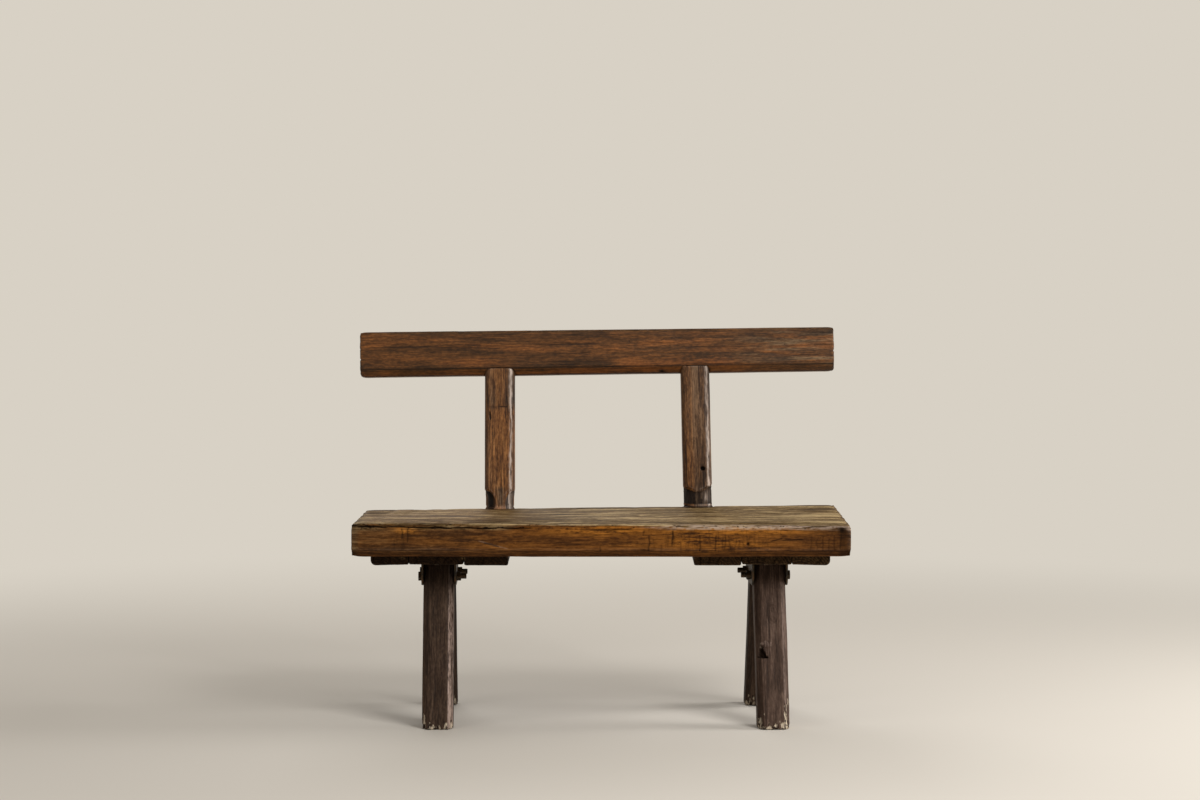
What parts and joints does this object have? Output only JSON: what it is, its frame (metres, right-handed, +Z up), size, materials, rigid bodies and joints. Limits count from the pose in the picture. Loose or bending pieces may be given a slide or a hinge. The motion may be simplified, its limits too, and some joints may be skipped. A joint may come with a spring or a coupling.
{
  "type": "monks bench",
  "caption": "Rustic timber bench: thick worn seat plank, low back rail on two posts turned round at the foot, and splayed legs bolted into iron brackets.",
  "frame": {"origin": "on the floor, under the middle of the bench's bounding box", "axes": "+X along the seat to the right of a viewer in front, +Y to the back, where the rail is, +Z up"},
  "size_m": [1.0954, 0.5022, 0.8648],
  "materials": {
    "seat_wood": "waxed and worn, orange brown with dark streaks",
    "rail_wood": "dark brown wax, worn to orange brown, grey at the right end",
    "post_wood": "mid brown wax with polished corners",
    "leg_wood": "dark charcoal brown, chipped pale at the feet",
    "cleat_wood": "dark brown, dull",
    "dark_iron": "blackened, slightly rusty"
  },
  "bodies": {
    "root": {"back_rail": "rail_wood", "left_back_bolt": "dark_iron", "left_back_leg": "leg_wood", "left_back_nut": "dark_iron", "left_bracket": "dark_iron", "left_bracket_back_screw": "dark_iron", "left_bracket_front_screw": "dark_iron", "left_front_bolt": "dark_iron", "left_front_leg": "leg_wood", "left_front_nut": "dark_iron", "left_head_block": "cleat_wood", "left_head_block_back_screw": "dark_iron", "left_head_block_front_screw": "dark_iron", "left_inner_cleat": "cleat_wood", "left_inner_cleat_back_screw": "dark_iron", "left_inner_cleat_front_screw": "dark_iron", "left_outer_cleat": "cleat_wood", "left_outer_cleat_back_screw": "dark_iron", "left_outer_cleat_front_screw": "dark_iron", "left_post": "post_wood", "left_post_wedge": "seat_wood", "right_back_bolt": "dark_iron", "right_back_leg": "leg_wood", "right_back_nut": "dark_iron", "right_bracket": "dark_iron", "right_bracket_back_screw": "dark_iron", "right_bracket_front_screw": "dark_iron", "right_front_bolt": "dark_iron", "right_front_leg": "leg_wood", "right_front_nut": "dark_iron", "right_head_block": "cleat_wood", "right_head_block_back_screw": "dark_iron", "right_head_block_front_screw": "dark_iron", "right_inner_cleat": "cleat_wood", "right_inner_cleat_back_screw": "dark_iron", "right_inner_cleat_front_screw": "dark_iron", "right_outer_cleat": "cleat_wood", "right_outer_cleat_back_screw": "dark_iron", "right_outer_cleat_front_screw": "dark_iron", "right_post": "post_wood", "right_post_wedge": "seat_wood", "seat_plank": "seat_wood"}
  },
  "joints": []
}
